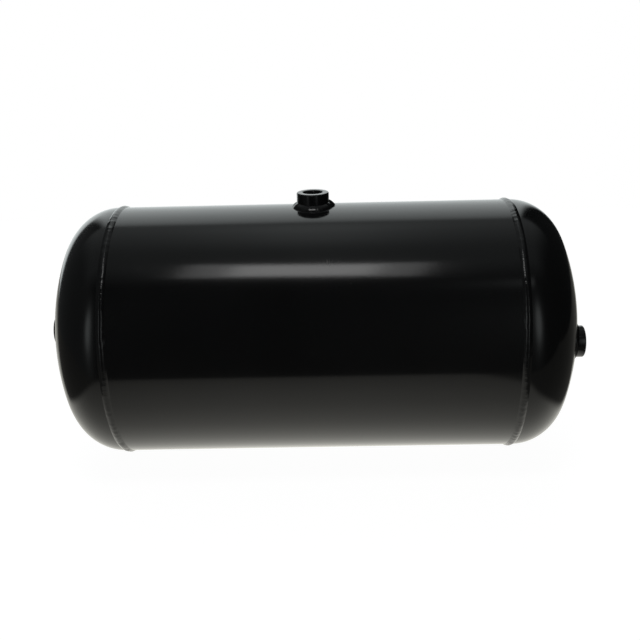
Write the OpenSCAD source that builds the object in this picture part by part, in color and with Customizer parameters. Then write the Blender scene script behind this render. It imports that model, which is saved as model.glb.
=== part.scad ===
// Welded steel compressed-air reservoir: a rolled shell, two dished heads and three threaded ports.
// The tank lies along X and the shell port points up, along Z.
// The origin is on the tank's axis, halfway between the crowns of the two heads.

/* [Vessel] */
// Outside diameter of the shell and of the heads
tank_od = 276; // [230:1:400]
// Overall length between the crowns of the two heads
tank_length = 575; // [400:5:1200]
// Wall of the rolled shell
shell_wall = 3; // [2:0.5:6]

/* [Dished heads] */
// Wall of the pressed heads
head_wall = 3; // [2:0.5:6]
// Outside radius of the shallow crown
crown_r = 265; // [180:1:420]
// Outside radius of the knuckle between the crown and the flange
knuckle_r = 54; // [30:1:100]
// Straight flange between the shoulder and the knuckle
head_flange = 3; // [2:0.5:20]
// Length of the lip that reaches inside the shell
lip_length = 12; // [6:1:30]
// Radial clearance between the lip and the shell
lip_clearance = 0.1; // [0.05:0.05:0.3]

/* [Welds] */
// Gap between two plate edges that a weld fills
root_gap = 2; // [1:0.25:3]
// Width of the bead around each end of the shell
girth_bead_w = 8; // [5:0.5:12]
// Height of that bead above the shell
girth_bead_h = 2; // [1:0.25:2.5]
// Place of the lengthwise seam, turned from the top towards the back
seam_angle = 130; // [30:1:330]
// Width of the bead along the seam
seam_bead_w = 7; // [4:0.5:10]
// Height of that bead above the shell
seam_bead_h = 1.25; // [0.75:0.25:2]
// Leg of the fillet weld around each port
port_weld_leg = 5.5; // [3:0.5:7]

/* [Ports] */
// Outside diameter of the port bosses
port_od = 35; // [30:1:45]
// Length of the port bosses
port_length = 20; // [16:1:40]
// Nominal diameter of the port thread
thread_d = 22; // [10:1:26]
// Pitch of the port thread
thread_pitch = 1.5; // [1:0.25:2]
// Chamfer on the outer edges of a boss
port_chamfer = 0.8; // [0.2:0.1:2]
// How far the thread's mouth opens beyond its nominal diameter, all round
mouth_relief = 0.3; // [0.1:0.1:1]
// Radial clearance between a boss and its hole
port_clearance = 0.2; // [0.1:0.1:0.5]
// Place of the shell port along the tank
shell_port_x = 0; // [-150:1:150]
// Height of the shell port's face above the shell
shell_port_stand = 15.3; // [9:0.1:16]
// Height of the end ports' faces above the heads
end_port_stand = 9.5; // [8:0.1:16]
// Distance of the right port from the tank's axis
right_port_offset = 35; // [28:1:70]
// Direction of that offset, below the horizontal on the front side
right_port_angle = 21; // [-60:1:90]

/* [Data plate] */
// Long side of the data plate
plate_w = 80; // [40:1:100]
// Short side of the data plate
plate_h = 40; // [20:1:44]
// Thickness of the data plate
plate_thickness = 0.8; // [0.5:0.1:1.5]
// Corner radius of the data plate
plate_corner_r = 4; // [1:0.5:8]
// Distance of the plate's middle from the tank's axis, on the side away from the right port
plate_offset = 38; // [30:1:60]
// Radius of the four tack welds at the plate's corners
tack_r = 2; // [1.5:0.25:3]
// Height of the tack welds above the head
tack_h = 1.2; // [0.8:0.1:1.5]

/* [Hidden] */

$fn = 360;
paint = [0.03, 0.03, 0.032];
plate_finish = [0.07, 0.07, 0.075];
// Overshoot that takes a cutting shape clear of the face it cuts
cut = 1;

tank_r = tank_od / 2;
bore_of_shell_r = tank_r - shell_wall;
lip_r = bore_of_shell_r - lip_clearance;

// Dished head: its knuckle and crown arcs share a tangent at knuckle_angle from the axis
knuckle_centre_r = tank_r - knuckle_r;
knuckle_angle = asin(knuckle_centre_r / (crown_r - knuckle_r));
dish_depth = crown_r - (crown_r - knuckle_r) * cos(knuckle_angle);
head_depth = head_flange + dish_depth;
crown_centre_x = tank_length / 2 - crown_r;
shoulder_x = tank_length / 2 - head_depth;
shell_half = shoulder_x - root_gap;

// Beads have an arc for a back, from their width and height
girth_arc_r = bead_arc_r(girth_bead_w, girth_bead_h);
seam_arc_r = bead_arc_r(seam_bead_w, seam_bead_h);
girth_bead_mid = -root_gap / 2;
seam_cap_half = shoulder_x + girth_bead_mid - girth_bead_w / 2;

// Internal thread: basic minor diameter of an ISO metric thread
port_r = port_od / 2;
port_bore_r = (thread_d - 5 / 8 * sqrt(3) * thread_pitch) / 2;
mouth_chamfer = thread_d / 2 + mouth_relief - port_bore_r;

right_port_x = crown_centre_x + sqrt(crown_r * crown_r - right_port_offset * right_port_offset);

// Large enough to reach through the tank from its axis
reach = tank_od;

function bead_arc_r(w, h) = (w * w / 4 + h * h) / (2 * h);

// ---- Frames ----

// Turns a shape's own Z axis along the tank
module along_tank() {
    rotate([0, 90, 0])
        children();
}

module right_end() {
    translate([shoulder_x, 0, 0])
        along_tank()
            children();
}

module left_end() {
    mirror([1, 0, 0])
        right_end()
            children();
}

// Port frames: Z leaves the tank along the port's axis, and the face of the boss is at zero
module shell_port_frame() {
    translate([shell_port_x, 0, tank_r + shell_port_stand])
        children();
}

module left_port_frame() {
    translate([-tank_length / 2 - end_port_stand, 0, 0])
        rotate([0, -90, 0])
            children();
}

module right_port_frame() {
    rotate([right_port_angle, 0, 0])
        translate([right_port_x + end_port_stand, -right_port_offset, 0])
            along_tank()
                children();
}

// A spot on the right head's crown, square to its surface: an angle from the back upwards and a
// distance from the tank's axis
module crown_spot(angle, distance) {
    rotate([angle, 0, 0])
        translate([crown_centre_x, 0, 0])
            rotate([0, 0, asin(distance / crown_r)])
                translate([crown_r, 0, 0])
                    along_tank()
                        children();
}

// ---- Shared shapes ----

// Half outline of the dish from the flange outwards, moved inwards by a wall
module dish_outline(inset) {
    rim = (knuckle_r + cut) * [sin(knuckle_angle), cos(knuckle_angle)] + [knuckle_centre_r, head_flange];
    top = head_depth + cut;
    translate([knuckle_centre_r, head_flange])
        intersection() {
            circle(knuckle_r - inset);
            square(knuckle_r);
        }
    intersection() {
        translate([0, head_depth - crown_r])
            circle(crown_r - inset, $fn = 1440);
        polygon([
            [0, head_flange], [knuckle_centre_r, head_flange], rim, [rim.x, top], [0, top]
        ]);
    }
}

// Solid form of a head, which welds and the plate are fitted to
module head_form() {
    rotate_extrude()
        union() {
            dish_outline(0);
            square([tank_r, head_flange]);
        }
}

module shell_form() {
    along_tank()
        cylinder(h = 2 * shell_half, r = tank_r, center = true);
}

// Round blank of a port, long enough to pass right through the wall and the weld
module port_blank(r) {
    cylinder(h = 2 * port_length, r = r, center = true);
}

module port_boss() {
    bottom = -port_length;
    rotate_extrude()
        polygon([
            [port_bore_r, bottom + mouth_chamfer],
            [port_bore_r + mouth_chamfer, bottom],
            [port_r - port_chamfer, bottom],
            [port_r, bottom + port_chamfer],
            [port_r, -port_chamfer],
            [port_r - port_chamfer, 0],
            [port_bore_r + mouth_chamfer, 0],
            [port_bore_r, -mouth_chamfer]
        ]);
}

// Cone whose slope is the face of the fillet, at zero on the surface that carries the weld
module fillet_cone() {
    translate([0, 0, -port_weld_leg])
        cylinder(
            h = 3 * port_weld_leg,
            r1 = port_r + 2 * port_weld_leg,
            r2 = port_r - port_weld_leg
        );
}

module plate_outline() {
    square([plate_w - 2 * plate_corner_r, plate_h], center = true);
    square([plate_w, plate_h - 2 * plate_corner_r], center = true);
    for (sx = [-1, 1], sy = [-1, 1])
        translate([sx * (plate_w / 2 - plate_corner_r), sy * (plate_h / 2 - plate_corner_r)])
            circle(plate_corner_r);
}

// Column through the data plate's outline, its short side pointing away from the tank's axis
module plate_column() {
    rotate([right_port_angle, 0, 0])
        translate([0, plate_offset, 0])
            along_tank()
                linear_extrude(tank_length)
                    plate_outline();
}

module tack_dome() {
    arc_r = bead_arc_r(2 * tack_r, tack_h);
    rotate_extrude()
        intersection() {
            translate([0, tack_h - arc_r])
                circle(arc_r);
            square([tack_r, tack_h]);
        }
}

module crown_ball(r) {
    translate([crown_centre_x, 0, 0])
        sphere(r);
}

// ---- Pieces ----

module shell() {
    color(paint)
        difference() {
            shell_form();
            along_tank()
                cylinder(h = 2 * shell_half + 2 * cut, r = bore_of_shell_r, center = true);
            rotate([-seam_angle, 0, 0])
                translate([-shell_half - cut, -root_gap / 2, 0])
                    cube([2 * (shell_half + cut), root_gap, reach]);
            shell_port_frame()
                port_blank(port_r + port_clearance);
        }
}

module shell_seam_weld() {
    color(paint)
        rotate([-seam_angle, 0, 0]) {
            intersection() {
                difference() {
                    shell_form();
                    along_tank()
                        cylinder(h = 2 * shell_half + 2 * cut, r = bore_of_shell_r, center = true);
                }
                translate([-shell_half, -root_gap / 2, 0])
                    cube([2 * shell_half, root_gap, reach]);
            }
            difference() {
                translate([0, 0, tank_r + seam_bead_h - seam_arc_r])
                    along_tank()
                        cylinder(h = 2 * seam_cap_half, r = seam_arc_r, center = true);
                shell_form();
            }
        }
}

// Pressed head with a shoulder, and a lip that slides into the shell
module head() {
    color(paint)
        rotate_extrude() {
            difference() {
                dish_outline(0);
                dish_outline(head_wall);
            }
            polygon([
                [lip_r - head_wall, -root_gap - lip_length],
                [lip_r, -root_gap - lip_length],
                [lip_r, 0],
                [tank_r, 0],
                [tank_r, head_flange],
                [tank_r - head_wall, head_flange],
                [lip_r - head_wall, 0]
            ]);
        }
}

module left_head() {
    color(paint)
        difference() {
            left_end()
                head();
            left_port_frame()
                port_blank(port_r + port_clearance);
        }
}

module right_head() {
    color(paint)
        difference() {
            right_end()
                head();
            right_port_frame()
                port_blank(port_r + port_clearance);
        }
}

// Root that fills the gap between the shell and the shoulder, and the bead that covers it
module girth_weld() {
    color(paint)
        rotate_extrude() {
            translate([lip_r, -root_gap])
                square([tank_r - lip_r, root_gap]);
            intersection() {
                translate([tank_r + girth_bead_h - girth_arc_r, girth_bead_mid])
                    circle(girth_arc_r);
                translate([tank_r, girth_bead_mid - girth_bead_w / 2])
                    square([girth_bead_h + cut, girth_bead_w]);
            }
        }
}

module left_girth_weld() {
    left_end()
        girth_weld();
}

module right_girth_weld() {
    right_end()
        girth_weld();
}

module shell_port_boss() {
    color(paint)
        shell_port_frame()
            port_boss();
}

module left_port_boss() {
    color(paint)
        left_port_frame()
            port_boss();
}

module right_port_boss() {
    color(paint)
        right_port_frame()
            port_boss();
}

module shell_port_weld() {
    color(paint)
        difference() {
            translate([shell_port_x, 0, tank_r])
                fillet_cone();
            shell_port_frame()
                port_blank(port_r);
            shell_form();
        }
}

module left_port_weld() {
    color(paint)
        difference() {
            translate([-tank_length / 2, 0, 0])
                rotate([0, -90, 0])
                    fillet_cone();
            left_port_frame()
                port_blank(port_r);
            left_end()
                head_form();
        }
}

module right_port_weld() {
    color(paint)
        difference() {
            crown_spot(right_port_angle + 180, right_port_offset)
                fillet_cone();
            right_port_frame()
                port_blank(port_r);
            right_end()
                head_form();
        }
}

module data_plate() {
    color(plate_finish)
        intersection() {
            difference() {
                crown_ball(crown_r + plate_thickness);
                crown_ball(crown_r);
            }
            plate_column();
        }
}

// A low dot of weld against each corner of the plate
module data_plate_tacks() {
    corner_inset = plate_corner_r * (1 - sqrt(1 / 2));
    z = plate_w / 2 - corner_inset;
    color(paint)
        difference() {
            for (side = [-1, 1], end = [-1, 1]) {
                y = plate_offset + side * (plate_h / 2 - corner_inset);
                crown_spot(right_port_angle + atan2(end * z, y), norm([y, z]))
                    tack_dome();
            }
            plate_column();
        }
}

shell();
shell_seam_weld();
left_head();
right_head();
left_girth_weld();
right_girth_weld();
shell_port_boss();
left_port_boss();
right_port_boss();
shell_port_weld();
left_port_weld();
right_port_weld();
data_plate();
data_plate_tacks();
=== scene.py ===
import math

import bmesh
import bpy
import numpy as np
from bpy.props import FloatProperty, FloatVectorProperty, PointerProperty
from bpy.types import Operator, Panel, PropertyGroup
from mathutils import Matrix, Vector, noise


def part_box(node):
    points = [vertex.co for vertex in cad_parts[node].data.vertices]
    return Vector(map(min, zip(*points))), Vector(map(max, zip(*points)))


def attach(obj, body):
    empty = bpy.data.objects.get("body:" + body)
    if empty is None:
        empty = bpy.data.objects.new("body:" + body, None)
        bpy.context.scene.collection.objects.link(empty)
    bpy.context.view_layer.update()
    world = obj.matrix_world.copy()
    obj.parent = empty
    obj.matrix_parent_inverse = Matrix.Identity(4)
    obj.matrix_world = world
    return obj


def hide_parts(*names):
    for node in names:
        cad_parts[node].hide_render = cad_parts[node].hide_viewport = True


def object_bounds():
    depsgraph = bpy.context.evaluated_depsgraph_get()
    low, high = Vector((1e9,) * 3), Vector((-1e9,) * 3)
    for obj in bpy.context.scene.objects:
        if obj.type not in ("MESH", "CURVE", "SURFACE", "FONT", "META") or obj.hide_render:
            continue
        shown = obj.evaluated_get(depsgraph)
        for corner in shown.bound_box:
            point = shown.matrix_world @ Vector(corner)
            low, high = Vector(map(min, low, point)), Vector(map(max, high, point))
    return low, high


bl_info = {
    "name": "Air reservoir",
    "version": (1, 0, 0),
    "blender": (4, 5, 0),
    "location": "3D View > Sidebar > Reservoir",
    "description": "Painted, welded air tank with dished heads and three threaded ports",
    "category": "Add Mesh",
}

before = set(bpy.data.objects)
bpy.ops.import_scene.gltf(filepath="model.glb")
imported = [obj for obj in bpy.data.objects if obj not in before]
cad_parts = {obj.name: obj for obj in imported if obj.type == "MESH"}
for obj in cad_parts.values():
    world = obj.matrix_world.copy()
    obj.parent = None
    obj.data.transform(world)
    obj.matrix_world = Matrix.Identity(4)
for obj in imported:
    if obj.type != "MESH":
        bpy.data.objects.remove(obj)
CAD_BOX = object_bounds()

MM = 0.001
UP = Vector((0, 0, 1))
RIGHT = Vector((1, 0, 0))

TURNED_STEPS = 256  # around the shell and the heads
HOLE_STEPS = 160  # around the hole for a port
CUTTER_LENGTH = 60 * MM  # of the cylinder that cuts such a hole
SMOOTH_DEGREES = 35  # faces that meet at less than this shade smooth
DOUBLES = 0.000001  # vertices closer than this are merged
LEVEL = 0.01 * MM  # how much the ends of an edge may differ along and away from the axis
NOISE_GAIN = 1.6  # brings noise to about -1 to 1
PEEL_HEIGHT = 0.012 * MM  # of the paint's orange peel
RAMP_GAIN = 2  # a colour ramp carries its values divided by this


def length(name, description, default):
    return FloatProperty(
        name=name, description=description, default=default, unit="LENGTH", precision=5
    )


def angle(name, description, degrees):
    return FloatProperty(
        name=name, description=description, default=math.radians(degrees), subtype="ANGLE"
    )


def amount(name, description, default):
    return FloatProperty(name=name, description=description, default=default, min=0, precision=4)


def colour(name, description, default):
    return FloatVectorProperty(
        name=name, description=description, default=default, subtype="COLOR", min=0, max=1
    )


class VesselSizes(PropertyGroup):
    radius: length("Radius", "Outside radius of the shell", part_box("shell")[1][2])
    half_shell: length("Half shell", "Half the length of the rolled shell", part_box("shell")[1][0])
    half_length: length("Half length", "From the middle to a head's crown", 287.5 * MM)
    wall: length("Wall", "Plate thickness of shell and heads", 3 * MM)
    crown_radius: length("Crown radius", "Radius of the shallow dish", 265 * MM)
    knuckle_radius: length("Knuckle radius", "Radius between the dish and the flange", 54 * MM)
    flange: length("Flange", "Straight part of a head beside its weld", 3 * MM)
    lip: length("Lip", "Part of a head inside the shell", 12 * MM)
    lip_clearance: length("Lip clearance", "Gap between lip and shell, all round", 0.1 * MM)
    root_gap: length("Root gap", "Gap between plate edges under a weld", 2 * MM)


class WeldSizes(PropertyGroup):
    girth_width: length("Girth bead width", "Across the bead at each end of the shell", 8.6 * MM)
    girth_height: length("Girth bead height", "Above the shell", 2 * MM)
    seam_width: length("Seam width", "Across the lengthwise bead", 7 * MM)
    seam_height: length("Seam height", "Above the shell", 1.25 * MM)
    seam_turn: angle("Seam turn", "From the top towards the back", 130)
    fillet_leg: length("Fillet leg", "Leg of the weld around the shell port", 5.3 * MM)
    end_fillet_leg: length("End fillet leg", "Leg of the weld around an end port", 4.4 * MM)
    ripple_pitch: length("Ripple pitch", "Between two ripples of a bead", 1.9 * MM)
    ripple_depth: length("Ripple depth", "Height of the ripples", 0.12 * MM)


class PortSizes(PropertyGroup):
    radius: length("Boss radius", "Outside radius of a boss", 17.5 * MM)
    height: length("Boss length", "Length of a boss", 20 * MM)
    chamfer: length("Chamfer", "On the outer edges of a boss", 0.8 * MM)
    easing: length("Easing", "Radius that softens turned edges", 0.2 * MM)
    clearance: length("Clearance", "Between a boss and its hole", 0.2 * MM)
    minor_radius: length("Minor radius", "Radius at the crests of the thread", 10.188 * MM)
    major_radius: length("Major radius", "Radius at the roots of the thread", 11 * MM)
    mouth_radius: length("Mouth radius", "Radius of the chamfered mouth", 11.3 * MM)
    pitch: length("Thread pitch", "Between two turns of the thread", 1.5 * MM)


class PlateSizes(PropertyGroup):
    long_side: length("Long side", "Of the blank data plate", 80 * MM)
    short_side: length("Short side", "Of the blank data plate", 40 * MM)
    corner: length("Corner radius", "Of the plate's corners", 4 * MM)
    thickness: length("Thickness", "Of the plate", 0.8 * MM)
    offset: length("Offset", "From the tank's axis to the plate's middle", 38 * MM)
    turn: angle("Turn", "Of the plate's spoke above the horizontal at the back", 21)
    tack_radius: length("Tack radius", "Radius of a tack weld", 2 * MM)
    tack_height: length("Tack height", "Height of a tack weld", 1.2 * MM)


class PaintLook(PropertyGroup):
    paint: colour("Paint", "Semi-gloss black paint", (0.0105, 0.0105, 0.0110))
    plate_paint: colour("Plate paint", "Duller paint of the data plate", (0.022, 0.022, 0.023))
    thin_paint: colour("Thin paint", "Paint that lets steel show on edges", (0.05, 0.048, 0.045))
    dust: colour("Dust", "Fine dust and dried stains", (0.05, 0.047, 0.043))
    gloss: amount("Roughness", "Roughness of clean paint", 0.125)


class StudioSetup(PropertyGroup):
    camera_place: FloatVectorProperty(
        name="Camera place", description="Where the camera stands",
        default=(0.0242, -0.9618, 0.3436), subtype="XYZ", unit="LENGTH",
    )
    camera_pitch: angle("Camera tilt", "Up from the line to the tank's axis", -1.203)
    camera_yaw: angle("Camera yaw", "Turn to the right", -1.146)
    camera_roll: angle("Camera roll", "Turn about the view", -1.089)
    lens: FloatProperty(name="Lens", description="Focal length", default=50.27, unit="CAMERA")
    shift_up: FloatProperty(name="Shift", description="Vertical shift of the lens", default=0.0378)
    top_light: amount("Top light", "Power of the softboxes overhead", 1.593)


class ReservoirSettings(PropertyGroup):
    vessel: PointerProperty(type=VesselSizes)
    welds: PointerProperty(type=WeldSizes)
    ports: PointerProperty(type=PortSizes)
    plate: PointerProperty(type=PlateSizes)
    look: PointerProperty(type=PaintLook)
    studio: PointerProperty(type=StudioSetup)


# ---- Shader maths ----


class Signal:
    """One output of a node. Arithmetic on it adds Math nodes."""

    def __init__(self, bench, socket):
        self.bench = bench
        self.socket = socket

    def math(self, operation, *values):
        return self.bench.node("ShaderNodeMath", {"operation": operation}, dict(enumerate(values)))

    def output(self, name):
        return Signal(self.bench, self.socket.node.outputs[name])

    def clamped(self):
        return self.bench.node(
            "ShaderNodeMath", {"operation": "ADD", "use_clamp": True}, {0: self, 1: 0}
        )

    def step(self, low, high):
        """0 below low, 1 above high and smooth between."""
        return self.bench.node(
            "ShaderNodeMapRange",
            {"interpolation_type": "SMOOTHSTEP"},
            {"Value": self, "From Min": low, "From Max": high},
        )

    def __add__(self, other):
        return self.math("ADD", self, other)

    def __sub__(self, other):
        return self.math("SUBTRACT", self, other)

    def __mul__(self, other):
        return self.math("MULTIPLY", self, other)

    def __truediv__(self, other):
        return self.math("DIVIDE", self, other)

    def __pow__(self, other):
        return self.math("POWER", self, other)

    def __rsub__(self, other):
        return self.math("SUBTRACT", other, self)

    def __rtruediv__(self, other):
        return self.math("DIVIDE", other, self)

    __radd__ = __add__
    __rmul__ = __mul__


class Bench:
    """Builds the nodes of one material or world."""

    def __init__(self, owner):
        owner.use_nodes = True
        self.tree = owner.node_tree
        self.tree.nodes.clear()

    def node(self, kind, settings=None, sockets=None, output=0):
        made = self.tree.nodes.new(kind)
        for name, value in (settings or {}).items():
            if name == "stops":
                self.set_stops(made.color_ramp, value)
            else:
                setattr(made, name, value)
        for name, value in (sockets or {}).items():
            if isinstance(value, Signal):
                self.tree.links.new(value.socket, made.inputs[name])
            else:
                made.inputs[name].default_value = value
        return Signal(self, made.outputs[output]) if made.outputs else made

    def set_stops(self, ramp, stops):
        while len(ramp.elements) < len(stops):
            ramp.elements.new(1)
        for element, (place, shade) in zip(ramp.elements, stops):
            element.position = place
            element.color = (shade, shade, shade, 1)

    def place(self, size=(1, 1, 1)):
        """Object coordinates, stretched by size."""
        point = self.node("ShaderNodeTexCoord", output="Object")
        return self.node("ShaderNodeMapping", sockets={"Vector": point, "Scale": size})

    def grain(self, scale, detail=2, size=(1, 1, 1), roughness=0.5):
        """Noise of about 0 to 1."""
        return self.node(
            "ShaderNodeTexNoise",
            sockets={
                "Vector": self.place(size), "Scale": scale, "Detail": detail,
                "Roughness": roughness,
            },
        )

    def finish(self, kind, shader, socket="Surface"):
        self.node(kind, sockets={socket: shader})


def opaque(shade):
    return (*shade, 1)


# Mix nodes have several sockets of one name, so the colour ones are found by place
MIX_COLOUR_A, MIX_COLOUR_B, MIX_COLOUR_RESULT = 6, 7, 2


def mixed(bench, factor, first, second):
    return bench.node(
        "ShaderNodeMix",
        {"data_type": "RGBA"},
        {0: factor, MIX_COLOUR_A: first, MIX_COLOUR_B: second},
        output=MIX_COLOUR_RESULT,
    )


def paint_finish(name, look, paint=None, dulled=0.0, peel=1.0, smudged=False, wear=0.0):
    """Semi-gloss black paint with orange peel, dust and dried stains, smudged or worn if asked."""
    finish = bpy.data.materials.new(name)
    bench = Bench(finish)
    broad = bench.grain(9, detail=3)
    patchy = bench.grain(60, detail=4)
    peel_grain = bench.grain(340)
    fine = bench.grain(1400)
    specks = bench.grain(620, detail=1).step(0.77, 0.83)
    stains = bench.grain(24, detail=6, roughness=0.7).step(0.60, 0.78)

    dust_amount = (specks * 0.25 + stains * 0.05).clamped()
    paint = paint or look.paint
    paler = [c * 1.25 for c in paint]
    shade = mixed(bench, broad.step(0.3, 0.7), opaque(paint), opaque(paler))
    shade = mixed(bench, dust_amount, shade, opaque(look.dust))
    roughness = look.gloss + dulled - 0.015 + broad * 0.02 + patchy * 0.015 + stains * 0.05
    if smudged:
        smear = smudge_mask(bench)
        shade = mixed(bench, smear * 0.18, shade, opaque(look.dust))
        roughness = roughness + smear * 0.10
    if wear:
        edges = bench.node("ShaderNodeNewGeometry", output="Pointiness").step(0.52, 0.60)
        worn = edges * patchy.step(0.35, 0.65) * wear
        shade = mixed(bench, worn.clamped(), shade, opaque(look.thin_paint))
    height = peel_grain * peel + fine * 0.12 + specks * 0.8
    normal = bench.node(
        "ShaderNodeBump", sockets={"Strength": 1.0, "Distance": PEEL_HEIGHT, "Height": height}
    )
    surface = bench.node(
        "ShaderNodeBsdfPrincipled",
        sockets={
            "Base Color": shade, "Roughness": roughness.clamped(), "Normal": normal, "IOR": 1.5,
        },
    )
    bench.finish("ShaderNodeOutputMaterial", surface)
    return finish


def smudge_mask(bench):
    """Smears and short scratches beside the shell port, where it was handled."""
    point = bench.node("ShaderNodeTexCoord", output="Object")
    x = bench.node("ShaderNodeSeparateXYZ", sockets={0: point})
    z = x.output("Z")
    y = x.output("Y")
    along = (x - 19.5 * MM) / (9 * MM)
    upwards = (z - 100.5 * MM) / (4 * MM)
    near = 1 / (1 + along ** 2 + upwards ** 2) * (0 - y).step(20 * MM, 60 * MM)
    streaks = bench.grain(240, detail=3, size=(4, 0.3, 0.3)).step(0.50, 0.66)
    return near.step(0.35, 0.9) * streaks


def dress(piece, node_names, finish):
    """Rides the piece on the tank, stands it for its CAD nodes and gives it its finish."""
    piece.data.materials.clear()
    piece.data.materials.append(finish)
    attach(piece, "root")
    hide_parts(*node_names)


# ---- Shaping ----


def start_at(name, place):
    """A new piece with a single vertex, in edit mode."""
    bpy.ops.object.select_all(action="DESELECT")
    bpy.ops.mesh.primitive_plane_add(size=MM, location=place)
    piece = bpy.context.object
    piece.name = piece.data.name = name
    bpy.ops.object.transform_apply(location=True, rotation=True, scale=True)
    bpy.ops.object.mode_set(mode="EDIT")
    bpy.ops.mesh.select_all(action="SELECT")
    bpy.ops.mesh.merge(type="CENTER")
    return piece


def close_up(piece, smooth_degrees=SMOOTH_DEGREES):
    """Merges doubles, turns faces outwards and shades smooth, back in object mode."""
    bpy.ops.mesh.select_all(action="SELECT")
    bpy.ops.mesh.remove_doubles(threshold=DOUBLES)
    bpy.ops.mesh.normals_make_consistent(inside=False)
    bpy.ops.object.mode_set(mode="OBJECT")
    bpy.ops.object.shade_smooth_by_angle(angle=math.radians(smooth_degrees))
    return piece


def turned(name, outline, centre, axis, start, steps, closed=True):
    """A piece turned on a lathe: outline holds (distance from the axis, distance along it)."""
    points = [centre + start * r + axis * h for r, h in outline]
    if closed:
        points.append(points[0])
    piece = start_at(name, points[0])
    for here, there in zip(points, points[1:]):
        bpy.ops.mesh.extrude_region_move(TRANSFORM_OT_translate={"value": there - here})
    bpy.ops.mesh.select_all(action="SELECT")
    bpy.ops.mesh.remove_doubles(threshold=DOUBLES / 10)
    bpy.ops.mesh.select_all(action="SELECT")
    bpy.ops.mesh.spin(steps=steps, angle=math.tau, center=centre, axis=axis, use_auto_merge=True)
    return close_up(piece)


def arc(centre, radius, first, last, steps):
    """Points on an arc, angles in degrees from the radial direction towards the axis."""
    return [
        (centre[0] + radius * math.cos(turn), centre[1] + radius * math.sin(turn))
        for turn in (math.radians(a) for a in np.linspace(first, last, steps + 1))
    ]


def eased(outline, radius, steps=3):
    """A closed outline with its corners rounded."""
    made = []
    count = len(outline)
    for i, corner in enumerate(outline):
        here = Vector(corner)
        before = Vector(outline[i - 1]) - here
        after = Vector(outline[(i + 1) % count]) - here
        reach = min(radius, before.length * 0.4, after.length * 0.4)
        first = here + before.normalized() * reach
        last = here + after.normalized() * reach
        for t in np.linspace(0, 1, steps + 1):
            spot = first * (1 - t) ** 2 + here * (2 * t * (1 - t)) + last * t ** 2
            made.append((spot.x, spot.y))
    return made


def cut_around(piece, cuts):
    """Cuts every strip of a piece turned about X into narrower ones."""
    bpy.ops.object.mode_set(mode="EDIT")
    bpy.ops.mesh.select_mode(type="EDGE")
    bpy.ops.mesh.select_all(action="DESELECT")
    mesh = bmesh.from_edit_mesh(piece.data)
    for edge in mesh.edges:
        first, last = (v.co for v in edge.verts)
        outwards = math.hypot(first.y, first.z) - math.hypot(last.y, last.z)
        edge.select_set(abs(first.x - last.x) < LEVEL and abs(outwards) < LEVEL)
    bmesh.update_edit_mesh(piece.data)
    bpy.ops.mesh.subdivide(number_cuts=cuts)
    bpy.ops.mesh.select_mode(type="VERT")
    close_up(piece)


def points_of(piece):
    made = np.empty(len(piece.data.vertices) * 3)
    piece.data.vertices.foreach_get("co", made)
    return made.reshape(-1, 3)


def put_points(piece, points):
    piece.data.vertices.foreach_set("co", np.ascontiguousarray(points).ravel())
    piece.data.update()


def wander(values, scale, seed):
    """Smooth random values of about -1 to 1, the same every time."""
    return np.array([
        noise.noise(Vector((v * scale, seed * 7.31, seed * 3.17))) * NOISE_GAIN for v in values
    ])


def around(angles, turns, seed):
    """As wander, but the same at both ends of a full turn."""
    return np.array([
        noise.noise(Vector((math.cos(a) * turns, math.sin(a) * turns, seed * 5.77))) * NOISE_GAIN
        for a in angles
    ])


def rippled(wave):
    """1 at each whole number of wave and 0 halfway between, with narrow crests."""
    return (0.5 + 0.5 * np.cos(math.tau * wave)) ** 1.5


def offsets(points, centre, axis, start):
    """Each point's distance from centre along axis, along start and across both."""
    away = points - np.array(centre)
    return [away @ np.array(direction) for direction in (axis, start, axis.cross(start))]


def bored(piece, centre, axis, radius):
    """Cuts a round hole through a wall."""
    bpy.ops.object.select_all(action="DESELECT")
    bpy.ops.mesh.primitive_cylinder_add(
        vertices=HOLE_STEPS, radius=radius, depth=CUTTER_LENGTH, location=centre,
        rotation=axis.to_track_quat("Z", "Y").to_euler(),
    )
    cutter = bpy.context.object
    bpy.context.view_layer.objects.active = piece
    hole = piece.modifiers.new("hole", "BOOLEAN")
    hole.operation = "DIFFERENCE"
    hole.solver = "EXACT"
    hole.object = cutter
    bpy.ops.object.modifier_apply(modifier=hole.name)
    bpy.data.objects.remove(cutter)
    piece.select_set(True)
    bpy.ops.object.shade_smooth_by_angle(angle=math.radians(SMOOTH_DEGREES))


def settings():
    return bpy.context.scene.reservoir


def port_frames():
    """For each port: the middle of its face, its axis and where turning it starts."""
    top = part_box("shell_port_boss")
    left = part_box("left_port_boss")
    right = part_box("right_port_boss")

    def middle(box, i):
        return (box[0][i] + box[1][i]) / 2

    return {
        "shell": (Vector((middle(top, 0), middle(top, 1), top[1][2])), UP, RIGHT),
        "left": (Vector((left[0][0], middle(left, 1), middle(left, 2))), -RIGHT, UP),
        "right": (Vector((right[1][0], middle(right, 1), middle(right, 2))), RIGHT, UP),
    }


class MakeShell(Operator):
    """Rolled shell with the hole for its port"""

    bl_idname = "reservoir.make_shell"
    bl_label = "Shell"

    def execute(self, context):
        vessel = settings().vessel
        ports = settings().ports
        inner = vessel.radius - vessel.wall
        # Rings lie closer together around the hole
        near_port = np.arange(-30, 31, 3) * MM
        far = np.linspace(45 * MM, vessel.half_shell, 9)
        rows = sorted([*near_port, *far, *-far])
        outline = [(vessel.radius, x) for x in rows] + [(inner, x) for x in reversed(rows)]
        piece = turned("shell_rolled", outline, Vector(), RIGHT, UP, TURNED_STEPS)
        face, axis, _ = port_frames()["shell"]
        bored(piece, face - axis * ports.height, axis, ports.radius + ports.clearance)
        paint = paint_finish("shell_paint", settings().look, smudged=True)
        dress(piece, ["shell"], paint)
        return {"FINISHED"}


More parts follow.
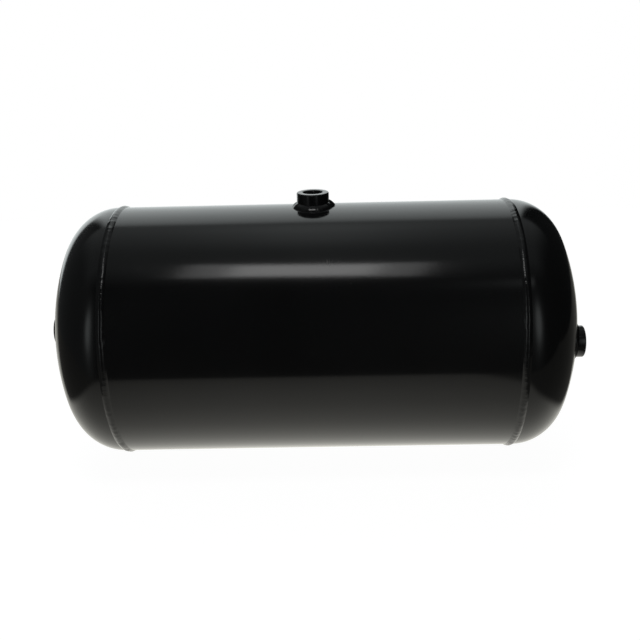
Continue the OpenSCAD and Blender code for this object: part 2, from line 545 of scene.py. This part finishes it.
class MakeHeads(Operator):
    """Pressed heads, each with a lip inside the shell and a hole for its port"""

    bl_idname = "reservoir.make_heads"
    bl_label = "Heads"

    def head_outline(self, vessel, hole):
        """From the crown's hole or pole over the outside to the lip and back inside."""
        knuckle_r = vessel.radius - vessel.knuckle_radius
        spread = math.asin(knuckle_r / (vessel.crown_radius - vessel.knuckle_radius))
        crown_h = -math.cos(spread) * (vessel.crown_radius - vessel.knuckle_radius) + vessel.flange
        lip_r = vessel.radius - vessel.wall - vessel.lip_clearance
        lip_h = -vessel.root_gap - vessel.lip
        tangent = math.degrees(math.pi / 2 - spread)
        crown_steps, knuckle_steps = 30, 34

        def dish(inset):
            crown = vessel.crown_radius - inset
            edge = math.degrees(math.acos(hole / crown))
            knuckle = (knuckle_r, vessel.flange)
            return (
                arc((0, crown_h), crown, edge, tangent, crown_steps)
                + arc(knuckle, vessel.knuckle_radius - inset, tangent, 0, knuckle_steps)[1:]
            )

        return (
            dish(0)
            + [(vessel.radius, 0), (lip_r, 0), (lip_r, lip_h + MM), (lip_r - MM, lip_h)]
            + [(lip_r - vessel.wall, lip_h), (lip_r - vessel.wall, 0)]
            + dish(vessel.wall)[::-1]
        )

    def execute(self, context):
        vessel = settings().vessel
        ports = settings().ports
        shoulder = vessel.half_shell + vessel.root_gap
        hole = ports.radius + ports.clearance
        left = turned(
            "left_head_pressed", self.head_outline(vessel, hole), -RIGHT * shoulder, -RIGHT, UP,
            TURNED_STEPS,
        )
        # Its hole is off the axis, so it is turned with a closed crown and bored
        right = turned(
            "right_head_pressed", self.head_outline(vessel, 0), RIGHT * shoulder, RIGHT, UP,
            TURNED_STEPS, closed=False,
        )
        face, axis, _ = port_frames()["right"]
        bored(right, face - axis * ports.height, axis, hole)
        paint = paint_finish("head_paint", settings().look)
        dress(left, ["left_head"], paint)
        dress(right, ["right_head"], paint)
        return {"FINISHED"}


class MakeGirthWelds(Operator):
    """Rippled bead around each end of the shell"""

    bl_idname = "reservoir.make_girth_welds"
    bl_label = "Girth welds"

    def execute(self, context):
        vessel = settings().vessel
        welds = settings().welds
        half = welds.girth_width / 2
        sink = 0.7 * MM
        across = np.linspace(-1, 1, 15)
        ripples = round(math.tau * vessel.radius / welds.ripple_pitch)
        paint = paint_finish("weld_bead_paint", settings().look, peel=2.0)
        profile = [
            (vessel.radius + welds.girth_height * (1 - u * u) ** 1.15, u * half) for u in across
        ]
        profile += [(vessel.radius - sink, half), (vessel.radius - sink, -half)]
        for seed, (side, axis) in enumerate((("left", -RIGHT), ("right", RIGHT))):
            middle = axis * (vessel.half_shell + vessel.root_gap / 2)
            # One step for each ripple, which is then cut into four
            bead = turned(side + "_girth_bead", profile, middle, axis, UP, ripples)
            cut_around(bead, 3)
            points = points_of(bead)
            turn = np.arctan2(points[:, 2], points[:, 1])
            r = np.hypot(points[:, 1], points[:, 2])
            u = (points[:, 0] - middle.x) * axis.x / half
            above = np.clip((r - vessel.radius) / welds.girth_height, 0, 1)
            lump = around(turn, 9, seed + 1) * 0.5 + around(turn, 31, seed + 3) * 0.5
            # Ripples trail behind the middle of the bead, and its crown and its line vary
            ripple = rippled(turn / math.tau * ripples + 0.55 * u * u + 0.10 * lump)
            sunk = np.clip(0.26 - 0.38 * lump, 0, 1) * MM
            r -= above * (ripple * welds.ripple_depth + sunk)
            drift = around(turn, 5, seed + 5) * 0.35 * MM + around(turn, 22, seed + 8) * 0.2 * MM
            points[:, 0] += drift * above ** 0.5
            points[:, 1] = r * np.cos(turn)
            points[:, 2] = r * np.sin(turn)
            put_points(bead, points)
            dress(bead, [side + "_girth_weld"], paint)
        return {"FINISHED"}


class MakeSeamWeld(Operator):
    """Lengthwise bead that closes the rolled shell, at the lower back"""

    bl_idname = "reservoir.make_seam_weld"
    bl_label = "Seam weld"

    def execute(self, context):
        vessel = settings().vessel
        welds = settings().welds
        # Ends under the edges of the girth beads
        half_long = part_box("shell_seam_weld")[1][0] - 3 * MM
        steps = round(2 * half_long / welds.ripple_pitch) * 5
        bpy.ops.object.select_all(action="DESELECT")
        bpy.ops.mesh.primitive_grid_add(x_subdivisions=steps, y_subdivisions=12, size=2)
        bead = bpy.context.object
        bead.name = bead.data.name = "shell_seam_bead"
        bpy.ops.object.mode_set(mode="EDIT")
        bpy.ops.mesh.select_all(action="SELECT")
        bpy.ops.mesh.extrude_region_move(TRANSFORM_OT_translate={"value": (0, 0, -1)})
        close_up(bead)
        points = points_of(bead)
        x = points[:, 0] * half_long
        u = points[:, 1]
        top = points[:, 2] > -0.5
        lump = wander(x, 60, 2) * 0.5 + wander(x, 240, 4) * 0.5
        ripple = rippled(x / welds.ripple_pitch + 0.6 * u * u)
        sunk = np.clip(0.1 - 0.1 * lump, 0, 1) * MM
        rise = (1 - u * u) * (welds.seam_height - sunk - ripple * welds.ripple_depth)
        across = u * welds.seam_width / 2 + wander(x, 35, 6) * 0.3 * MM
        # The edges start just under the shell's skin and the underside is well inside the wall
        r = vessel.radius + np.where(top, rise - 0.02 * MM, -0.9 * MM)
        turn = welds.seam_turn + across / vessel.radius
        points = np.stack([x, r * np.sin(turn), r * np.cos(turn)], 1)
        put_points(bead, points)
        bpy.ops.object.mode_set(mode="EDIT")
        close_up(bead)
        paint = paint_finish("seam_paint", settings().look, peel=2.0)
        dress(bead, ["shell_seam_weld"], paint)
        return {"FINISHED"}


class MakePorts(Operator):
    """Turned bosses with an internal thread"""

    bl_idname = "reservoir.make_ports"
    bl_label = "Port bosses"

    def execute(self, context):
        ports = settings().ports
        rows_per_turn = 12
        flat = 0.12  # share of half a pitch that is flat at the crest, and again at the root
        rows = np.linspace(
            -ports.height, 0, round(ports.height / ports.pitch * rows_per_turn) + 1
        )
        outside = eased([
            (ports.mouth_radius, -ports.height),
            (ports.radius - ports.chamfer, -ports.height),
            (ports.radius, -ports.height + ports.chamfer),
            (ports.radius, -ports.chamfer),
            (ports.radius - ports.chamfer, 0),
            (ports.mouth_radius, 0),
        ], ports.easing)
        outline = outside + [(ports.mouth_radius - MM, h) for h in rows[::-1][1:-1]]
        paint = paint_finish("port_boss_paint", settings().look, wear=0.5)
        for name, (face, axis, start) in port_frames().items():
            boss = turned(name + "_port_turned", outline, face, axis, start, 96)
            points = points_of(boss)
            side = axis.cross(start)
            h, a, b = offsets(points, face, axis, start)
            r = np.hypot(a, b)
            turn = np.arctan2(b, a)
            phase = h / ports.pitch - turn / math.tau
            tooth = np.abs((phase % 1) * 2 - 1)
            groove = np.clip((tooth - flat) / (1 - 2 * flat), 0, 1)
            thread = ports.minor_radius + (ports.major_radius - ports.minor_radius) * groove
            depth = np.minimum(-h, h + ports.height)
            mouth = ports.mouth_radius - depth
            inside = r < ports.mouth_radius - 0.5 * MM
            target = np.where(inside, np.maximum(thread, mouth), r)
            points += ((target - r) / r)[:, None] * (
                a[:, None] * np.array(start) + b[:, None] * np.array(side)
            )
            put_points(boss, points)
            bpy.ops.object.mode_set(mode="EDIT")
            close_up(boss, 32)
            dress(boss, [name + "_port_boss"], paint)
        return {"FINISHED"}


class MakePortWelds(Operator):
    """Rippled fillet around each boss, laid on the curved wall"""

    bl_idname = "reservoir.make_port_welds"
    bl_label = "Port welds"

    def surface_height(self, name, points):
        """How far along the port's axis the wall lies under each point."""
        vessel = settings().vessel
        if name == "shell":
            return np.sqrt(vessel.radius ** 2 - points[:, 1] ** 2)
        crown = vessel.half_length - vessel.crown_radius
        return crown + np.sqrt(vessel.crown_radius ** 2 - points[:, 1] ** 2 - points[:, 2] ** 2)

    def execute(self, context):
        welds = settings().welds
        ports = settings().ports
        sink = 0.9 * MM
        paint = paint_finish("port_weld_paint", settings().look, peel=2.0)
        for seed, (name, (face, axis, start)) in enumerate(port_frames().items()):
            leg = welds.fillet_leg if name == "shell" else welds.end_fillet_leg
            upright = leg * 0.9
            inside = ports.radius - 0.4 * MM
            outline = [(inside, -sink), (inside, upright)]
            for t in np.linspace(0, 1, 13):
                bulge = 0.4 * MM * math.sin(math.pi * t)
                outline.append((ports.radius + leg * t + bulge, upright * (1 - t) + bulge))
            outline.append((ports.radius + leg - 0.3 * MM, -sink))
            ripples = round(math.tau * (ports.radius + leg / 2) / welds.ripple_pitch)
            bead = turned(name + "_port_fillet", outline, Vector(), axis, start, ripples * 5)
            points = points_of(bead)
            side = axis.cross(start)
            h, a, b = offsets(points, Vector(), axis, start)
            r = np.hypot(a, b)
            turn = np.arctan2(b, a)
            t = np.clip((r - ports.radius) / leg, 0, 1.1)
            free = np.clip((h + sink * 0.5) / sink, 0, 1) * (r > ports.radius - 0.1 * MM)
            lump = around(turn, 2.2, seed + 11) * 0.6 + around(turn, 7, seed + 14) * 0.4
            # The shell port's weld was stopped on its right, where metal piled up
            stop = np.exp(-((turn - 0.15) / 0.22) ** 2) if name == "shell" else 0 * turn
            ripple = rippled(turn / math.tau * ripples + 0.5 * t)
            ripple *= np.sin(math.pi * np.clip(t, 0, 1))
            grow = free * (lump * 0.35 * MM + stop * 1.7 * MM - ripple * 0.02 * MM)
            r_new = r + grow * (0.3 + 0.9 * t)
            h_new = h + grow * np.clip(1.1 - t, 0, 1)
            centre = np.array(face - axis * face.dot(axis))
            flat = (
                centre
                + (r_new * np.cos(turn))[:, None] * np.array(start)
                + (r_new * np.sin(turn))[:, None] * np.array(side)
            )
            base = self.surface_height(name, flat)
            points = flat + (base + h_new)[:, None] * np.array(axis)
            put_points(bead, points)
            bpy.ops.object.mode_set(mode="EDIT")
            close_up(bead, 40)
            dress(bead, [name + "_port_weld"], paint)
        return {"FINISHED"}


class MakeDataPlate(Operator):
    """Blank plate bent to the right head's crown, and its four tack welds"""

    bl_idname = "reservoir.make_data_plate"
    bl_label = "Data plate"

    def execute(self, context):
        vessel = settings().vessel
        plate = settings().plate
        crown = vessel.half_length - vessel.crown_radius
        tilt = Matrix.Rotation(plate.turn, 3, "X")
        bpy.ops.object.select_all(action="DESELECT")
        bpy.ops.mesh.primitive_plane_add(size=1)
        sheet = bpy.context.object
        sheet.name = sheet.data.name = "data_plate_sheet"
        sheet.scale = (plate.short_side, plate.long_side, 1)
        bpy.ops.object.transform_apply(location=False, rotation=False, scale=True)
        bpy.ops.object.mode_set(mode="EDIT")
        bpy.ops.mesh.select_all(action="SELECT")
        bpy.ops.mesh.bevel(offset=plate.corner, segments=8, affect="VERTICES")
        for normal, size in (((1, 0, 0), plate.short_side), ((0, 1, 0), plate.long_side)):
            cuts = round(size / (4 * MM))
            for i in range(1, cuts):
                place = Vector(normal) * (size * (i / cuts - 0.5))
                bpy.ops.mesh.select_all(action="SELECT")
                bpy.ops.mesh.bisect(plane_co=place, plane_no=normal)
        bpy.ops.mesh.select_all(action="SELECT")
        bpy.ops.mesh.remove_doubles(threshold=DOUBLES)
        bpy.ops.mesh.extrude_region_move(
            TRANSFORM_OT_translate={"value": (0, 0, plate.thickness)}
        )
        bpy.ops.mesh.select_all(action="SELECT")
        bpy.ops.mesh.normals_make_consistent(inside=False)
        bpy.ops.object.mode_set(mode="OBJECT")
        rim = sheet.modifiers.new("rim", "BEVEL")
        rim.width = 0.2 * MM
        rim.segments = 2
        rim.limit_method = "ANGLE"
        bpy.ops.object.modifier_apply(modifier=rim.name)
        bent = []
        for across, along, up in points_of(sheet):
            spot = tilt @ Vector((0, plate.offset + across, along))
            out = crown + math.sqrt((vessel.crown_radius + up) ** 2 - spot.y ** 2 - spot.z ** 2)
            bent.append((out, spot.y, spot.z))
        put_points(sheet, np.array(bent))
        bpy.ops.object.shade_smooth_by_angle(angle=math.radians(30))
        look = settings().look
        paint = paint_finish("plate_paint", look, paint=look.plate_paint, dulled=0.16, wear=0.4)
        dress(sheet, ["data_plate"], paint)

        # The tacks stand on the middles of the rounded corners
        inset = plate.corner * (1 - math.sqrt(0.5))
        sink = 0.6 * MM
        dome = [
            (plate.tack_radius * math.cos(a), plate.tack_height * math.sin(a))
            for a in np.linspace(math.pi / 2, 0, 9)
        ]
        dome += [(plate.tack_radius, -sink), (0, -sink)]
        tacks = []
        for across_side in (-1, 1):
            for along_side in (-1, 1):
                spot = tilt @ Vector((
                    0,
                    plate.offset + across_side * (plate.short_side / 2 - inset),
                    along_side * (plate.long_side / 2 - inset),
                ))
                rise = math.sqrt(vessel.crown_radius ** 2 - spot.y ** 2 - spot.z ** 2)
                out = Vector((rise, spot.y, spot.z))
                axis = out.normalized()
                foot = Vector((crown, 0, 0)) + out
                start = axis.orthogonal().normalized()
                tack = turned("tack", dome, foot, axis, start, 40, closed=False)
                points = points_of(tack)
                lumps = np.array([noise.noise(Vector(p) * 900) for p in points]) * 0.16 * MM
                away = points - np.array(foot)
                far = np.linalg.norm(away, axis=1, keepdims=True) + 1e-9  # never zero
                put_points(tack, points + away / far * lumps[:, None])
                tacks.append(tack)
        bpy.ops.object.select_all(action="DESELECT")
        for tack in tacks:
            tack.select_set(True)
        bpy.context.view_layer.objects.active = tacks[0]
        bpy.ops.object.join()
        joined = bpy.context.object
        joined.name = joined.data.name = "data_plate_tack_welds"
        paint = paint_finish("tack_paint", look, peel=2.0)
        dress(joined, ["data_plate_tacks"], paint)
        return {"FINISHED"}


class MakeStage(Operator):
    """Pale light table, studio surroundings, softboxes and the camera"""

    bl_idname = "reservoir.make_stage"
    bl_label = "Stage"

    def make_table(self):
        floor_z = CAD_BOX[0][2]
        bpy.ops.object.select_all(action="DESELECT")
        bpy.ops.mesh.primitive_plane_add(size=1, location=(0, 0.4, floor_z))
        table = bpy.context.object
        table.name = table.data.name = "light_table"
        table.scale = (2.6, 1.6, 1)
        bpy.ops.object.transform_apply(location=True, rotation=True, scale=True)
        surface = bpy.data.materials.new("light_table_top")
        bench = Bench(surface)
        camera = bench.node("ShaderNodeLightPath", output="Is Camera Ray")
        point = bench.node("ShaderNodeTexCoord", output="Object")
        x = bench.node("ShaderNodeSeparateXYZ", sockets={0: point})
        y = x.output("Y")
        # The lit part widens and moves left towards the back, and lacks its front right corner
        behind = y.math("MAXIMUM", y, 0)
        across = (x + 0.027 + behind * 0.37) / (behind * 0.73 + 0.367)
        outwards = across ** 4 + (y.math("MINIMUM", y, 0) / 0.42) ** 4
        cut_corner = x - 0.345 - (y + 0.12) * 0.483
        lit_part = (1 - outwards.step(0.8, 1.25)) * (1 - cut_corner.step(-0.02, 0.025))
        # Brightness by distance behind the tank's axis
        stops = (
            (-0.40, 0.24), (-0.30, 0.37), (-0.20, 0.53), (-0.137, 0.73), (-0.10, 0.94),
            (-0.05, 1.12), (0.10, 1.12), (0.40, 1.0),
        )
        glow = bench.node(
            "ShaderNodeValToRGB",
            {"stops": [(place + 0.5, shade / RAMP_GAIN) for place, shade in stops]},
            {"Fac": y + 0.5},
        )
        unlit = 0.07
        strength = glow * RAMP_GAIN * lit_part / (1 + (x / 0.47) ** 2) + unlit
        # The tank reflects the lit part, and the camera sees a white top with a shadow
        reflected = bench.node(
            "ShaderNodeEmission", sockets={"Color": (1, 0.99, 0.91, 1), "Strength": strength}
        )
        white = bench.node(
            "ShaderNodeEmission", sockets={"Color": (1, 1, 1, 1), "Strength": 0.97}
        )
        shadowed = bench.node("ShaderNodeBsdfDiffuse", sockets={"Color": (0.2, 0.2, 0.2, 1)})
        plain = bench.node("ShaderNodeAddShader", sockets={0: white, 1: shadowed})
        lit = bench.node("ShaderNodeMixShader", sockets={0: camera, 1: reflected, 2: plain})
        bench.finish("ShaderNodeOutputMaterial", lit)
        table.data.materials.append(surface)

    def make_surroundings(self):
        world = bpy.data.worlds.new("studio")
        bpy.context.scene.world = world
        bench = Bench(world)
        camera = bench.node("ShaderNodeLightPath", output="Is Camera Ray")
        look = bench.node("ShaderNodeTexCoord", output="Generated")
        x = bench.node("ShaderNodeSeparateXYZ", sockets={0: look})
        y = x.output("Y")
        z = x.output("Z")
        # Elevation from the front horizon over the top, as a share of a full turn
        rise = x.math("ARCTAN2", z, 0 - y) / math.tau + 0.5

        def band(stops):
            return bench.node(
                "ShaderNodeValToRGB",
                {"stops": [(degrees / 360 + 0.5, shade / RAMP_GAIN) for degrees, shade in stops]},
                {"Fac": rise},
            )

        # Brightness by elevation in degrees: the lit backdrop, the ceiling and its middle
        backdrop = band((
            (-180, 1.0), (-95, 1.0), (-85, 0), (127.5, 0), (131.5, 0.8), (137, 1.0),
            (150, 1.13), (180, 1.0),
        ))
        ceiling = band((
            (-85, 0.01), (58, 0.01), (76, 0.11), (100, 0.12), (124, 0.18), (128, 0.18), (132, 0.0),
        ))
        haze = band((
            (0, 0), (60, 0.0), (78, 0.05), (92, 0.08), (104, 0.25), (118, 0.31), (124, 0.22),
            (127, 0.05), (131, 0.0),
        ))
        middle = 1 / (1 + ((x + 0.025) / 0.12) ** 2)
        sideways = x / y.math("MAXIMUM", y.math("ABSOLUTE", y), 0.001)
        level = x.math("SQRT", x * x + y * y)
        climb = z / level.math("MAXIMUM", level, 0.001)
        # The backdrop ends in a slanting edge on the left and an upright one on the right
        low_edge = climb.math("MINIMUM", climb.math("MAXIMUM", climb, 0), 0.3) * 1.6
        backdrop_part = (sideways - low_edge).step(-1.1, -0.85) * (1 - sideways.step(0.28, 0.42))
        front = (0 - y).step(0.0, 0.1)

        def glow(strength, place, wide, height, tall):
            """A soft bright patch in front, at place to the right and at height."""
            away = ((sideways - place) / wide) ** 2 + ((climb - height) / tall) ** 2
            return front * strength / (1 + away ** 2)

        overhead = 1 - x.math("ABSOLUTE", x).step(0.35, 0.75)
        side_wall = (1 - x.step(-0.6, -0.3)) * 0.06 + x.step(0.3, 0.6) * 0.012
        radiance = (
            backdrop * backdrop_part * (RAMP_GAIN - sideways * 0.5)
            + (ceiling + haze * middle) * overhead * (RAMP_GAIN * 1.15)
            + glow(0.8, -0.70, 0.15, 0.30, 0.30)
            + glow(0.8, 0.52, 0.15, 0.30, 0.30)
            + glow(0.35, 0.50, 0.16, 1.30, 0.16)
            + side_wall
        )
        # The camera sees plain white
        shown = camera + (1 - camera) * radiance
        hue = mixed(bench, camera, (0.94, 1, 1, 1), (1, 1, 1, 1))
        sky = bench.node("ShaderNodeBackground", sockets={"Color": hue, "Strength": shown})
        bench.finish("ShaderNodeOutputWorld", sky)

    def make_softbox(self, name, wide, tall, power):
        """A soft area lamp above the front."""
        target = Vector((-0.055, -0.09, 0.10))
        distance = 1.3
        rise = math.radians(70)  # from the front horizon upwards
        out = Vector((0, -math.cos(rise), math.sin(rise)))
        bpy.ops.object.select_all(action="DESELECT")
        bpy.ops.object.light_add(type="AREA", location=target + out * distance)
        lamp = bpy.context.object
        lamp.name = lamp.data.name = name
        # Its right end hangs a little lower than its left one
        lower = Vector((0, -math.sin(rise), -math.cos(rise)))
        across = (RIGHT + lower * 0.1).normalized()
        lamp.rotation_euler = Matrix((across, out.cross(across), out)).transposed().to_euler()
        lamp.data.shape = "RECTANGLE"
        lamp.data.size = wide
        lamp.data.size_y = tall
        lamp.data.energy = power
        lamp.visible_camera = False

    def make_camera(self):
        studio = settings().studio
        place = Vector(studio.camera_place)
        bpy.ops.object.select_all(action="DESELECT")
        bpy.ops.object.camera_add(location=place)
        camera = bpy.context.object
        camera.name = "camera"
        camera.data.lens = studio.lens
        camera.data.sensor_width = 36
        camera.data.shift_y = studio.shift_up
        camera.data.dof.use_dof = False
        # Worked out in a frame that looks along the line from the camera to the tank's axis
        elevation = math.atan2(place.z, -place.y)
        yaw, pitch, roll = studio.camera_yaw, studio.camera_pitch, studio.camera_roll
        forward = Vector((
            math.sin(yaw) * math.cos(pitch), math.cos(yaw) * math.cos(pitch), math.sin(pitch)
        ))
        across = Vector((math.cos(yaw), -math.sin(yaw), 0))
        above = across.cross(forward)
        right = across * math.cos(roll) + above * math.sin(roll)
        up = above * math.cos(roll) - across * math.sin(roll)
        axes = Matrix((right, up, -forward)).transposed()
        level = Matrix.Rotation(-elevation, 3, "X")
        camera.rotation_euler = (level @ axes).to_euler()
        bpy.context.scene.camera = camera

    def execute(self, context):
        studio = settings().studio
        self.make_table()
        self.make_surroundings()
        # A bright core inside a dimmer frame gives the soft edges of a diffuser
        self.make_softbox("top_softbox_core", 0.36, 0.25, studio.top_light * 0.62)
        self.make_softbox("top_softbox_frame", 0.60, 0.32, studio.top_light * 0.50)
        self.make_camera()
        bpy.context.scene.view_settings.view_transform = "Standard"
        return {"FINISHED"}


class ReservoirPanel(Panel):
    bl_label = "Air reservoir"
    bl_idname = "VIEW3D_PT_reservoir"
    bl_space_type = "VIEW_3D"
    bl_region_type = "UI"
    bl_category = "Reservoir"

    def draw(self, context):
        for maker in MAKERS:
            self.layout.operator(maker.bl_idname)
        for group in ("vessel", "welds", "ports", "plate", "look", "studio"):
            box = self.layout.box()
            owner = getattr(context.scene.reservoir, group)
            for name in owner.__annotations__:
                box.prop(owner, name)


MAKERS = (
    MakeShell, MakeHeads, MakeGirthWelds, MakeSeamWeld, MakePorts, MakePortWelds, MakeDataPlate,
    MakeStage,
)
GROUPS = (VesselSizes, WeldSizes, PortSizes, PlateSizes, PaintLook, StudioSetup, ReservoirSettings)
CLASSES = (*GROUPS, *MAKERS, ReservoirPanel)


def register():
    for item in CLASSES:
        bpy.utils.register_class(item)
    bpy.types.Scene.reservoir = PointerProperty(type=ReservoirSettings)


def unregister():
    del bpy.types.Scene.reservoir
    for item in reversed(CLASSES):
        bpy.utils.unregister_class(item)


def main():
    register()
    for maker in MAKERS:
        group, action = maker.bl_idname.split(".")
        getattr(getattr(bpy.ops, group), action)()


if __name__ == "__main__":
    main()
